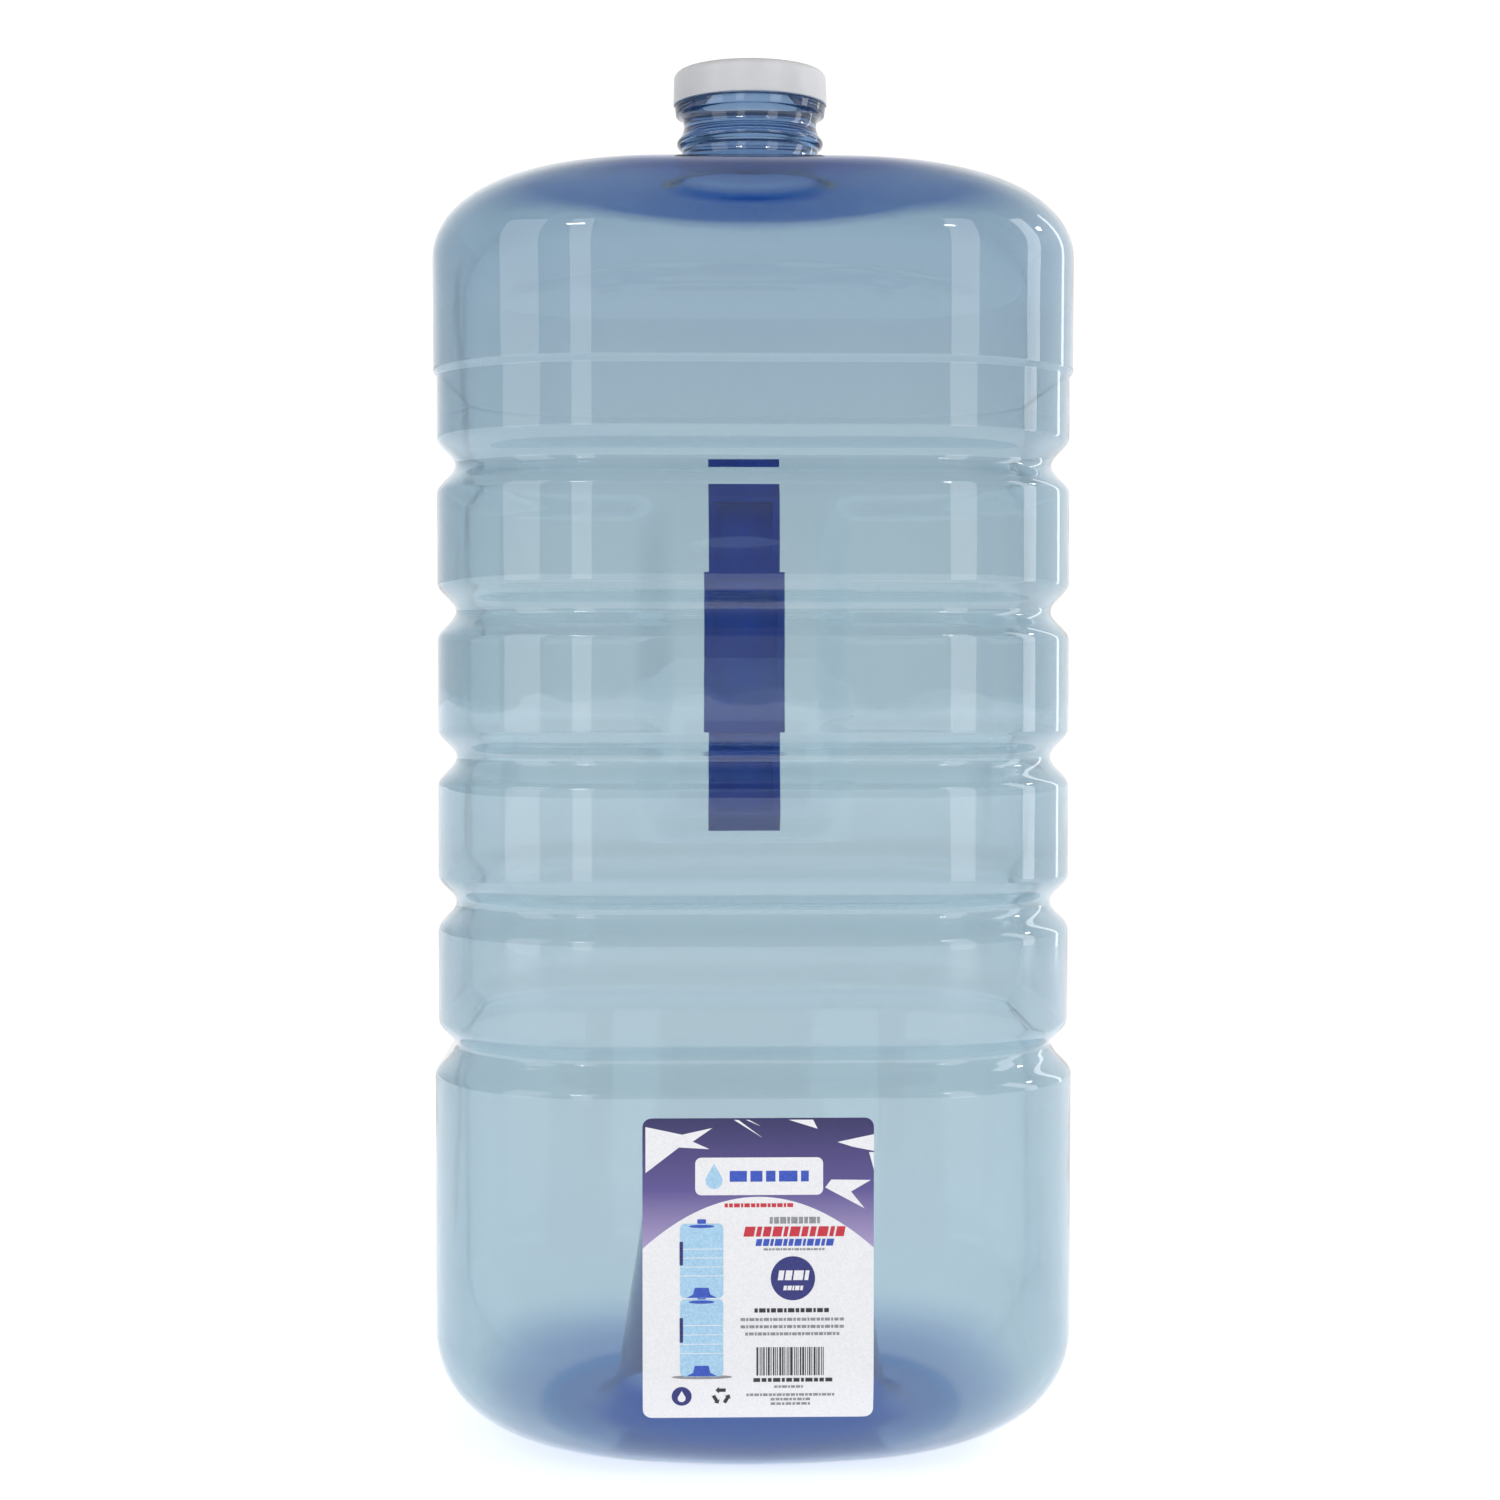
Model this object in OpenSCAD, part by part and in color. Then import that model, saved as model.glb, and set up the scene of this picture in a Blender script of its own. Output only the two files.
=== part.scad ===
// Large stackable water jug of about 18.9 litres: a thin blown bottle with a rounded-square body,
// five grooves, a round threaded neck, a recess under the base for the neck of the jug below,
// a handle bar across a pocket in the back, a screw cap with a liner, and a front label.
// Millimetres. +Z is up, the front faces -Y. The origin is the middle of the base, on the ground.

/* [Body] */
// Width and depth of the body
body_w = 222; // [218:1:226]
// Corner radius of the body, seen from above
corner_r = 60; // [58:1:64]
// Rounding between the base and the walls
base_r = 43; // [38:1:46]
// Height at which the shoulder starts
shoulder_z = 414; // [412:1:418]
// How far the grooved panels stand in from the top and bottom bands
panel_inset = 1.2; // [0.6:0.1:2]
// Thickness of the walls
wall_t = 1.2; // [1:0.1:1.6]
// Thickness of the floor and the recess
floor_t = 2; // [1.6:0.1:2.4]

/* [Grooves] */
// Height of the lowest groove
groove_z = 142; // [140:1:143]
// Distance from one groove to the next
groove_pitch = 50.3; // [49.7:0.2:50.7]
// Number of grooves
groove_count = 5; // [3:1:5]
// Height of a groove's opening
groove_h = 19.5; // [17:0.5:20]
// Depth of a groove
groove_d = 6.3; // [4:0.1:7]
// Height of the step between the panels and the top band
step_z = 374.5; // [371:0.5:380]

/* [Shoulder and neck] */
// How far the shoulder's curve reaches in from the wall
shoulder_in = 52; // [46:1:54]
// Height of the shoulder's curve
shoulder_up = 34.5; // [31:0.5:36]
// Rise of the dome from the curve to the neck
dome_rise = 2.5; // [1:0.5:4]
// Outer radius of the neck's waist
waist_r = 24.2; // [24:0.1:24.8]
// Radius of the neck's bore
bore_r = 22.2; // [21.5:0.1:22.4]
// Pitch of the thread
thread_pitch = 4; // [3.8:0.1:4.2]

/* [Cap] */
// Outer radius of the cap
cap_r = 28; // [28:0.1:28.4]
// Height of the cap
cap_h = 12.2; // [12.2:0.1:12.4]

/* [Base recess] */
// Radius at which the recess meets the floor
recess_foot_r = 62; // [58:1:64]
// Height of the recess
recess_h = 80; // [62:1:84]
// Lean of the recess wall from upright
recess_lean = 9; // [5:1:12]

/* [Handle] */
// Width of the pocket
pocket_w = 84; // [76:1:92]
// Height of the pocket's opening
pocket_h = 150; // [148:1:151]
// Depth of the pocket
pocket_d = 40; // [34:1:44]
// Height of the bar
bar_h = 142; // [138:1:143]
// Width of the bar's grip
grip_w = 33; // [30:1:36]
// Width of the bar's ends
bar_end_w = 29; // [26:1:30]
// Depth of the bar from front to back
bar_d = 13; // [11:1:15]

/* [Label] */
// Width of the label
label_w = 76; // [70:1:90]
// Height of the label
label_h = 100; // [92:1:101]
// Height of the label's lower edge
label_z = 26; // [26:1:28]

/* [Hidden] */

half = body_w / 2;
flat = half - corner_r;
groove_steps = 10;
step_h = 2;
back_y = half - panel_inset;

// shoulder
around = 96;
curve_steps = 11;
dome_steps = 4;
root_r = 34;
root_t = 3;
root_z = shoulder_z + shoulder_up + dome_rise;

// neck: heights above the root
bead_up = 13.4;
bead_r = 1.9;
waist_up = 19.6;
ring_up = 23.4;
ring_h = 3.2;
cap_up = 27.2;
lip_up = 36.6;
stem_r = 24.8;
ring_r = 27.5;
finish_r = 24.6;
thread_crest = 1.4;
thread_step = 7.5;

// cap and liner
cap_wall = 1.6;
cap_edge = 2.4;
liner_t = 1.2;
seat_gap = 0.05;
cap_z = root_z + cap_up;
lip_z = root_z + lip_up;
liner_z = lip_z + seat_gap;
ceiling_z = liner_z + liner_t + seat_gap;
cap_bore_r = cap_r - cap_wall;

// base recess
flare_r = 14;
crown_r = 12;
crown_x = (recess_foot_r * cos(recess_lean) + flare_r * sin(recess_lean) - flare_r - crown_r
           - sin(recess_lean) * (recess_h - crown_r)) / cos(recess_lean);

// handle
pocket_z = groove_z + 2.7 * groove_pitch;
pocket_r = (pocket_h * pocket_h / 4 + pocket_d * pocket_d) / (2 * pocket_d);
pocket_y = back_y - pocket_d + pocket_r;
bar_skin = 3;
bar_edge = 3;
grip_low = pocket_z - 31;
grip_high = pocket_z + 34;
bar_gap = 0.2;

// label
label_t = 0.2;
label_glue = 0.03;
label_corner = 3;

function arc(x, y, r, from, to, n) =
    [for (i = [0 : n]) let (a = from + (to - from) * i / n) [x + r * cos(a), y + r * sin(a)]];

// ---- body wall ----

// One groove as [distance in, height] points, from the band below it to the band above it
function groove(z, below, above) =
    [for (i = [0 : groove_steps])
        let (t = -1 + 2 * i / groove_steps, band = t < 0 ? below : above)
        [band + (panel_inset + groove_d - band) * (1 + cos(180 * t)) / 2, z + t * groove_h / 2]];

function grooves() =
    [for (k = [0 : groove_count - 1])
        each groove(groove_z + k * groove_pitch, k == 0 ? 0 : panel_inset, panel_inset)];

// The outer face of the wall, as [distance in, height] points from bottom to top
function wall_face() = concat(
    [[0, base_r]],
    grooves(),
    [[panel_inset, step_z - step_h / 2], [0, step_z + step_h / 2], [0, shoulder_z]]);

function moved_in(points, by) = [for (p = points) [p[0] + by, p[1]]];
function reversed(points) = [for (i = [len(points) - 1 : -1 : 0]) points[i]];

// Carries a profile round the rounded square. x is the distance from the corner's centre.
module square_sweep() {
    for (q = [0 : 3])
        rotate(90 * q) {
            translate([flat, 0, 0])
                rotate([90, 0, 0])
                linear_extrude(2 * flat, center = true)
                children();
            translate([flat, flat, 0])
                rotate_extrude(angle = 90, $fn = 96)
                children();
        }
}

module wall_profile() {
    ring = concat(wall_face(), reversed(moved_in(wall_face(), wall_t)));
    polygon([for (p = ring) [corner_r - p[0], p[1]]]);
}

module pocket_cylinder(grow) {
    translate([0, pocket_y, pocket_z])
        rotate([0, 90, 0])
        cylinder(r = pocket_r + grow, h = pocket_w + 2 * grow, center = true, $fn = 160);
}

// The body's bulk behind the back face, over the width of the pocket
module back_bulk() {
    bulk_w = pocket_w + 4 * wall_t;
    rotate([90, 0, 90])
        linear_extrude(bulk_w, center = true)
        polygon(concat(
            [[0, shoulder_z], [0, base_r]],
            [for (p = wall_face()) [half - p[0], p[1]]]));
}

module body_wall() {
    color("lightsteelblue", 0.45)
    difference() {
        union() {
            square_sweep() wall_profile();
            intersection() {
                pocket_cylinder(wall_t);
                back_bulk();
            }
        }
        pocket_cylinder(0);
    }
}

// ---- shoulder ----

// Distance from the axis to the body's outline, seen from above
function outline(a) =
    let (b = abs(((a + 45) % 90) - 45), c = cos(b), s = sin(b))
    half * tan(b) <= flat ? half / c
        : flat * (c + s) + sqrt(corner_r * corner_r - pow(flat * (c - s), 2));

// The shoulder's side view as [radius, height, wall thickness] from the wall to the neck's root
function shoulder_line() = concat(
    [for (i = [0 : curve_steps]) let (a = 90 * i / curve_steps)
        [half - shoulder_in * (1 - cos(a)), shoulder_z + shoulder_up * sin(a),
         wall_t + (root_t - wall_t) * i / (curve_steps + dome_steps)]],
    [for (i = [1 : dome_steps]) let (t = i / dome_steps)
        [half - shoulder_in + (root_r - half + shoulder_in) * t,
         shoulder_z + shoulder_up + dome_rise * t,
         wall_t + (root_t - wall_t) * (curve_steps + i) / (curve_steps + dome_steps)]]);

// The direction into the bottle at point i of the side view
function shoulder_inward(line, i) =
    i == 0 ? [-1, 0]
    : i == len(line) - 1 ? [0, -1]
    : let (d = [line[i + 1][0] - line[i - 1][0], line[i + 1][1] - line[i - 1][1]]) [d[1], -d[0]] * (-1) / norm(d);

function shoulder_ring(r, z) =
    let (share = (r - root_r) / (half - root_r))
    [for (k = [0 : around - 1]) let (a = 360 * k / around, d = root_r + (outline(a) - root_r) * share)
        [d * cos(a), d * sin(a), z]];

function band_faces(low, high) =
    [for (k = [0 : around - 1]) let (n = (k + 1) % around)
        each [[low + k, high + k, high + n], [low + k, high + n, low + n]]];

module shoulder() {
    line = shoulder_line();
    count = len(line);
    outer = [for (p = line) each shoulder_ring(p[0], p[1])];
    inner = [for (i = [0 : count - 1]) let (v = shoulder_inward(line, i) * line[i][2])
        each shoulder_ring(line[i][0] + v[0], line[i][1] + v[1])];
    inner_start = count * around;
    faces = concat(
        [for (i = [0 : count - 2]) each band_faces(i * around, (i + 1) * around)],
        [for (i = [0 : count - 2]) each band_faces(inner_start + (i + 1) * around, inner_start + i * around)],
        band_faces((count - 1) * around, inner_start + (count - 1) * around),
        band_faces(inner_start, 0));
    color("steelblue", 0.5)
        polyhedron(concat(outer, inner), faces);
}

// ---- base ----

module base_corner_profile() {
    translate([corner_r - base_r, base_r])
        intersection() {
            difference() {
                circle(base_r, $fn = 96);
                circle(base_r - floor_t, $fn = 96);
            }
            translate([0, -base_r])
                square(base_r);
        }
}

module floor_outline() {
    floor_half = half - base_r;
    floor_corner = corner_r - base_r;
    square([2 * floor_half, 2 * flat], center = true);
    square([2 * flat, 2 * floor_half], center = true);
    for (x = [-flat, flat], y = [-flat, flat])
        translate([x, y])
            circle(floor_corner, $fn = 64);
}

// The recess wall from its foot to its crown, with the given thickness added on the inside
function recess_line(t) = concat(
    arc(recess_foot_r, flare_r, flare_r - t, 270, 180 + recess_lean, 7),
    arc(crown_x, recess_h - crown_r, crown_r + t, recess_lean, 90, 7),
    [[0, recess_h + t]]);

module base() {
    color("royalblue", 0.55) {
        square_sweep() base_corner_profile();
        linear_extrude(floor_t)
            difference() {
                floor_outline();
                circle(recess_foot_r, $fn = 120);
            }
        rotate_extrude($fn = 120)
            polygon(concat(recess_line(0), reversed(recess_line(floor_t))));
    }
}

// ---- neck ----

// A ridge that climbs along a helix, between two radii, from angle "from" to angle "to".
// It tapers away over its first and last steps.
module thread(root, crest, z, from, to) {
    n = ceil((to - from) / thread_step);
    faces = concat(
        [for (i = [0 : n - 1], k = [0 : 3]) let (m = (k + 1) % 4)
            each [[4 * i + k, 4 * i + m, 4 * i + 4 + m], [4 * i + k, 4 * i + 4 + m, 4 * i + 4 + k]]],
        [[3, 2, 1, 0], [4 * n, 4 * n + 1, 4 * n + 2, 4 * n + 3]]);
    points = [for (i = [0 : n])
        let (a = from + (to - from) * i / n,
             full = min(1, (min(i, n - i) + 0.4) / 4),
             top = root + (crest - root) * full,
             h = z + thread_pitch * a / 360,
             ends = [[root, h - 0.9], [top, h - 0.5], [top, h + 0.5], [root, h + 0.9]])
        each [for (p = ends) [p[0] * cos(a), p[0] * sin(a), p[1]]]];
    polyhedron(points, root > crest ? [for (f = faces) reversed(f)] : faces);
}

module neck_profile() {
    fillet = root_r - stem_r;
    outer = concat(
        arc(root_r, fillet, fillet, 270, 180, 8),
        arc(stem_r, bead_up, bead_r, -90, 60, 10),
        arc(waist_r + 6, waist_up, 6, 212, 140, 8),
        [[ring_r - 0.4, ring_up], [ring_r, ring_up + ring_h], [finish_r, ring_up + ring_h + 0.2],
         [finish_r, lip_up - 0.5], [finish_r - 0.5, lip_up]]);
    inner = concat(
        [[bore_r, lip_up]],
        arc(bore_r + 9, 9 - root_t, 9, 180, 270, 8),
        [[root_r, -root_t]]);
    polygon(concat(outer, inner));
}

module neck() {
    color("steelblue", 0.6) {
        translate([0, 0, root_z])
            rotate_extrude($fn = 120)
            neck_profile();
        thread(finish_r - 0.3, finish_r + thread_crest, cap_z + 2.1, 4, 418);
    }
}

// ---- handle ----

module bar_section(w) {
    translate([-w / 2, 0])
        square([w, bar_d - bar_edge]);
    translate([-w / 2 + bar_edge, 0])
        square([w - 2 * bar_edge, bar_d]);
    for (side = [-1, 1])
        translate([side * (w / 2 - bar_edge), bar_d - bar_edge])
            circle(bar_edge, $fn = 32);
}

module bar_length(w, low, high) {
    translate([0, back_y - bar_d, low])
        linear_extrude(high - low)
        bar_section(w);
}

// A hollow in the inner side of the bar
module bar_hollow(w, low, high) {
    hollow_w = w - 2 * bar_skin;
    translate([-hollow_w / 2, back_y - bar_d - 1, low])
        cube([hollow_w, bar_d - bar_skin + 1, high - low]);
}

module handle() {
    low = pocket_z - bar_h / 2;
    high = pocket_z + bar_h / 2;
    color("darkblue")
    intersection() {
        difference() {
            union() {
                bar_length(bar_end_w, low, high);
                bar_length(grip_w, grip_low, grip_high);
            }
            bar_hollow(bar_end_w, grip_high + 3, high - 9);
            bar_hollow(grip_w, grip_low + 16, grip_high - 3);
            bar_hollow(bar_end_w, low + 8, grip_low - 3);
        }
        pocket_cylinder(-bar_gap);
    }
}

// ---- label ----

// The front of the body in side view over the label's height, grown outward by t
function label_face(t) = concat(
    arc(base_r - half, base_r, base_r + t, 180 + asin((base_r - label_z) / base_r), 180, 6),
    [[-half - t, label_z + label_h]]);

module label() {
    color("white")
    intersection() {
        rotate([90, 0, 90])
            linear_extrude(label_w, center = true)
            polygon(concat(label_face(label_glue + label_t), reversed(label_face(label_glue))));
        translate([0, 0, label_z])
            rotate([90, 0, 0])
            linear_extrude(half + 2 * label_t)
            label_outline();
    }
}

module label_outline() {
    inner_w = label_w - 2 * label_corner;
    translate([-inner_w / 2, 0])
        square([inner_w, label_h]);
    translate([-label_w / 2, label_corner])
        square([label_w, label_h - 2 * label_corner]);
    for (x = [-inner_w / 2, inner_w / 2], y = [label_corner, label_h - label_corner])
        translate([x, y])
            circle(label_corner, $fn = 32);
}

// ---- cap ----

module cap_profile() {
    polygon(concat(
        [[cap_bore_r, 0], [cap_r, 0]],
        arc(cap_r - 0.3 - cap_edge, cap_h - cap_edge - 0.3, cap_edge, 0, 80, 8),
        [[0, cap_h], [0, ceiling_z - cap_z], [cap_bore_r, ceiling_z - cap_z]]));
}

module cap() {
    color("white") {
        translate([0, 0, cap_z])
            rotate_extrude($fn = 120)
            cap_profile();
        thread(cap_bore_r + 0.3, cap_bore_r - thread_crest, cap_z + 2.1 - thread_pitch / 2, 94, 544);
    }
}

module cap_liner() {
    color("gainsboro")
        translate([0, 0, liner_z])
        cylinder(r = cap_bore_r - 0.4, h = liner_t, $fn = 120);
}

body_wall();
shoulder();
base();
neck();
handle();
label();
cap();
cap_liner();
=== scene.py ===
import math

import bmesh
import bpy
import numpy as np
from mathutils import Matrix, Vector, noise


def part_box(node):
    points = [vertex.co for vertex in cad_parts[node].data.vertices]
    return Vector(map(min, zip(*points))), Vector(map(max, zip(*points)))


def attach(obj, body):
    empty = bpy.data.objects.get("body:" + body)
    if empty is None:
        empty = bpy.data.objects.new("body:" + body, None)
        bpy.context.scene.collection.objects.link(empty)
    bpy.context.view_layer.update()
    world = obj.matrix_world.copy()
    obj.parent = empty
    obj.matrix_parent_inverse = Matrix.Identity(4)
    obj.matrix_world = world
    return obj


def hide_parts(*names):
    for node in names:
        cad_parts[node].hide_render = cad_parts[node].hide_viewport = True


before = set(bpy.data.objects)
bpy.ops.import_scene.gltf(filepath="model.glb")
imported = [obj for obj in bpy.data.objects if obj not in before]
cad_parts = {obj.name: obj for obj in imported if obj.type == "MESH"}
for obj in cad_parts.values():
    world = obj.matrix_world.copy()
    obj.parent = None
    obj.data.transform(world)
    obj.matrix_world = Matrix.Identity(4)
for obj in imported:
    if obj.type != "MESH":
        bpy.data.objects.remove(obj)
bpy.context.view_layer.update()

MM = 0.001

# ---- dimensions, in millimetres, read from the frame or repeated from the part ----


def span(node):
    """Lowest and highest corner of a CAD node, in millimetres."""
    low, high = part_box(node)
    return np.array(low) / MM, np.array(high) / MM


WALL_LOW, WALL_HIGH = span("body_wall")
SHOULDER_HIGH = span("shoulder")[1]
NECK_HIGH = span("neck")[1]
CAP_LOW, CAP_HIGH = span("cap")
LABEL_LOW, LABEL_HIGH = span("label")
HANDLE_LOW, HANDLE_HIGH = span("handle")

HALF = float(WALL_HIGH[0])
CORNER = 60.0
FLAT = HALF - CORNER
BASE_R = float(WALL_LOW[2])
SHOULDER_Z = float(WALL_HIGH[2])
PANEL_INSET = 1.2

GROOVE_Z = [142.0 + 50.3 * k for k in range(5)]
GROOVE_H = 19.5
GROOVE_D = 6.3
STEP_Z = 374.5

SHOULDER_IN = 52.0
ROOT_R = 34.0
ROOT_Z = float(SHOULDER_HIGH[2])
DOME_RISE = 2.5
SHOULDER_UP = ROOT_Z - DOME_RISE - SHOULDER_Z

BORE_R = 22.2
STEM_R = 24.8
WAIST_R = 24.2
FINISH_R = 24.6
THREAD_CREST = 1.4
THREAD_PITCH = 4.0
THREAD_FADE = 28.0  # degrees over which a thread's ends rise and fall
NECK_THREAD = (4, 418)  # first and last angle of the thread's ridge, in degrees
CAP_THREAD = (94, 544)
FINISH_UP = 27.0  # height of the threaded part's foot above the neck's root
BORE_UP = 7.0  # height at which the straight bore ends above the root
LIP_UP = float(NECK_HIGH[2]) - ROOT_Z

RECESS_FOOT_R = 62.0
BASE_FOOT_R = HALF - BASE_R
RECESS_H = 80.0
RECESS_LEAN = math.radians(9)
FLARE_R = 14.0
CROWN_R = 12.0

POCKET_Z = float(HANDLE_LOW[2] + HANDLE_HIGH[2]) / 2
POCKET_H = 150.0
POCKET_D = 40.0
POCKET_R = (POCKET_H**2 / 4 + POCKET_D**2) / (2 * POCKET_D)

CAP_R = float(CAP_HIGH[0])
CAP_Z = float(CAP_LOW[2])
CAP_TOP = float(CAP_HIGH[2])
CAP_WALL = 1.6
CEILING_Z = float(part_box("cap_liner")[1][2]) / MM + 0.05


# ---- small helpers ----


def smooth(x, low, high):
    """0 below low, 1 above high, and a smooth rise between."""
    t = np.clip((np.asarray(x, float) - low) / (high - low), 0, 1)
    return t * t * (3 - 2 * t)


def arc(x, z, r, start, end, n):
    """n + 1 points on an arc, angles in degrees."""
    a = np.radians(np.linspace(start, end, n + 1))
    return np.column_stack([x + r * np.cos(a), z + r * np.sin(a)])


def line(p, q, n):
    """Points from p to q without p itself."""
    return np.linspace(p, q, n + 1)[1:]


def wobble(x, y, z, size, seed):
    """Smooth noise from about -1 to 1 whose bumps are about size millimetres across."""
    p = Vector((x / size + seed, y / size - seed, z / size + 2 * seed))
    return noise.noise(p)


def mesh_object(name, verts, faces, materials, smooth_faces=True):
    """A mesh object in metres from points in millimetres."""
    mesh = bpy.data.meshes.new(name)
    mesh.from_pydata([tuple(v) for v in np.asarray(verts) * MM], [], faces)
    mesh.validate()
    for m in materials:
        mesh.materials.append(m)
    obj = bpy.data.objects.new(name, mesh)
    bpy.context.scene.collection.objects.link(obj)
    mesh.polygons.foreach_set("use_smooth", [smooth_faces] * len(mesh.polygons))
    return obj


def skin(rings):
    """Points and faces of a tube through rings of equal length, closed by a fan at each end."""
    count, around = len(rings), len(rings[0])
    verts = np.concatenate(rings)
    faces = []
    for i in range(count - 1):
        for k in range(around):
            n = (k + 1) % around
            a, b = i * around, (i + 1) * around
            faces.append((a + k, a + n, b + n, b + k))
    verts = np.vstack([verts, rings[0].mean(axis=0), rings[-1].mean(axis=0)])
    start, end = len(verts) - 2, len(verts) - 1
    top = (count - 1) * around
    for k in range(around):
        n = (k + 1) % around
        faces.append((start, n, k))
        faces.append((end, top + k, top + n))
    return verts, faces


# ---- materials ----


def new_material(name):
    m = bpy.data.materials.new(name)
    m.use_nodes = True
    nt = m.node_tree
    shader = next(n for n in nt.nodes if n.type == "BSDF_PRINCIPLED")
    return m, nt, shader


def place(nt):
    """The X, Y and Z sockets of a point's place on its object, in metres."""
    where = nt.nodes.new("ShaderNodeTexCoord")
    parts = nt.nodes.new("ShaderNodeSeparateXYZ")
    nt.links.new(where.outputs["Object"], parts.inputs["Vector"])
    return parts.outputs


def length(nt, vector):
    node = nt.nodes.new("ShaderNodeVectorMath")
    node.operation = "LENGTH"
    nt.links.new(vector, node.inputs[0])
    return node.outputs["Value"]


def absorb(nt, colour, density):
    """Absorbs light on its way through the piece, so that the plastic has a colour inside."""
    inside = nt.nodes.new("ShaderNodeVolumeAbsorption")
    inside.inputs["Color"].default_value = (*colour, 1)
    inside.inputs["Density"].default_value = density
    out = next(n for n in nt.nodes if n.type == "OUTPUT_MATERIAL")
    nt.links.new(inside.outputs["Volume"], out.inputs["Volume"])
    return out


def noise_node(nt, scale, detail=3.0, rough=0.5):
    where = nt.nodes.new("ShaderNodeTexCoord")
    tex = nt.nodes.new("ShaderNodeTexNoise")
    tex.inputs["Scale"].default_value = scale
    tex.inputs["Detail"].default_value = detail
    tex.inputs["Roughness"].default_value = rough
    nt.links.new(where.outputs["Object"], tex.inputs["Vector"])
    return tex


def ramp_node(nt, source, stops):
    ramp = nt.nodes.new("ShaderNodeValToRGB")
    while len(ramp.color_ramp.elements) < len(stops):
        ramp.color_ramp.elements.new(0.5)
    for element, (position, colour) in zip(ramp.color_ramp.elements, stops):
        element.position = position
        element.color = (*colour, 1)
    nt.links.new(source, ramp.inputs["Fac"])
    return ramp


def bump(nt, shader, source, strength, distance):
    node = nt.nodes.new("ShaderNodeBump")
    node.inputs["Strength"].default_value = strength
    node.inputs["Distance"].default_value = distance
    nt.links.new(source, node.inputs["Height"])
    nt.links.new(node.outputs["Normal"], shader.inputs["Normal"])


def ease(nt, source, low, high, start=0.0, end=1.0):
    """A smooth change from start to end as the source goes from low to high."""
    node = nt.nodes.new("ShaderNodeMapRange")
    node.interpolation_type = "SMOOTHSTEP"
    for name, value in (("From Min", low), ("From Max", high), ("To Min", start), ("To Max", end)):
        node.inputs[name].default_value = value
    nt.links.new(source, node.inputs["Value"])
    return node.outputs["Result"]


def combine(nt, operation, first, second):
    node = nt.nodes.new("ShaderNodeMath")
    node.operation = operation
    for socket, value in zip(node.inputs, (first, second)):
        if isinstance(value, float):
            socket.default_value = value
        else:
            nt.links.new(value, socket)
    return node.outputs["Value"]


def painted_shade_depth(nt):
    """Where deeper blue is painted in as shade: deepest round the neck, in the foot and in the recess, and a
    little deeper over the upper body.

    The dome's deep blue reaches further to the front (-Y) than to the back, as in the photograph.
    """
    at = place(nt)
    flat = nt.nodes.new("ShaderNodeCombineXYZ")
    nt.links.new(at["X"], flat.inputs["X"])
    nt.links.new(at["Y"], flat.inputs["Y"])
    r, y, z = length(nt, flat.outputs["Vector"]), at["Y"], at["Z"]
    spread = combine(nt, "ADD", r, ease(nt, y, -0.07, 0.05, 0.0, 0.036))
    dome = combine(nt, "MULTIPLY", ease(nt, spread, 0.086, 0.116, 1.0, 0.0), ease(nt, z, 0.41, 0.43))
    above = ease(nt, z, (ROOT_Z - 1) * MM, (ROOT_Z + 6) * MM, 1.0, 0.10)
    upper = ease(nt, z, 0.30, 0.44, 0.0, 0.10)
    foot = combine(nt, "ADD", ease(nt, z, 0.0004, 0.0020, 0.60, 0.0), ease(nt, z, 0.001, 0.020, 0.55, 0.0))
    in_recess = ease(nt, r, (RECESS_FOOT_R - 1) * MM, (RECESS_FOOT_R + 1) * MM, 1.0, 0.0)
    recess = combine(nt, "MULTIPLY", in_recess, ease(nt, z, 0.01, 0.09, 0.75, 0.15))
    high = combine(nt, "ADD", combine(nt, "MULTIPLY", dome, above), upper)
    low = combine(nt, "ADD", foot, recess)
    return combine(nt, "ADD", high, low)


def clear_plastic():
    """Blue-tinted clear plastic, with deeper blue painted in as shade over the dome, the foot, the recess and
    the upper body.
    """
    m, nt, shader = new_material("clear_blue_plastic")
    tint_and_painted_shade = nt.nodes.new("ShaderNodeMix")
    tint_and_painted_shade.data_type = "RGBA"
    tint_and_painted_shade.inputs[6].default_value = (0.67, 0.745, 0.768, 1)
    # the deep blue that is painted in as shade
    tint_and_painted_shade.inputs[7].default_value = (0.0, 0.10, 0.42, 1)
    nt.links.new(painted_shade_depth(nt), tint_and_painted_shade.inputs[0])
    nt.links.new(tint_and_painted_shade.outputs[2], shader.inputs["Base Color"])
    shader.inputs["Transmission Weight"].default_value = 1.0
    shader.inputs["IOR"].default_value = 1.55
    shader.inputs["Roughness"].default_value = 0.02
    tex = noise_node(nt, 24, 2)
    bump(nt, shader, tex.outputs["Fac"], 0.25, 0.0005)
    out = absorb(nt, (0.10, 0.50, 0.80), 120)
    path = nt.nodes.new("ShaderNodeLightPath")
    through = nt.nodes.new("ShaderNodeBsdfTransparent")
    through.inputs["Color"].default_value = (0.88, 0.93, 0.96, 1)
    mix = nt.nodes.new("ShaderNodeMixShader")
    nt.links.new(path.outputs["Is Shadow Ray"], mix.inputs["Fac"])
    nt.links.new(shader.outputs["BSDF"], mix.inputs[1])
    nt.links.new(through.outputs["BSDF"], mix.inputs[2])
    nt.links.new(mix.outputs["Shader"], out.inputs["Surface"])
    return m


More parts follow.
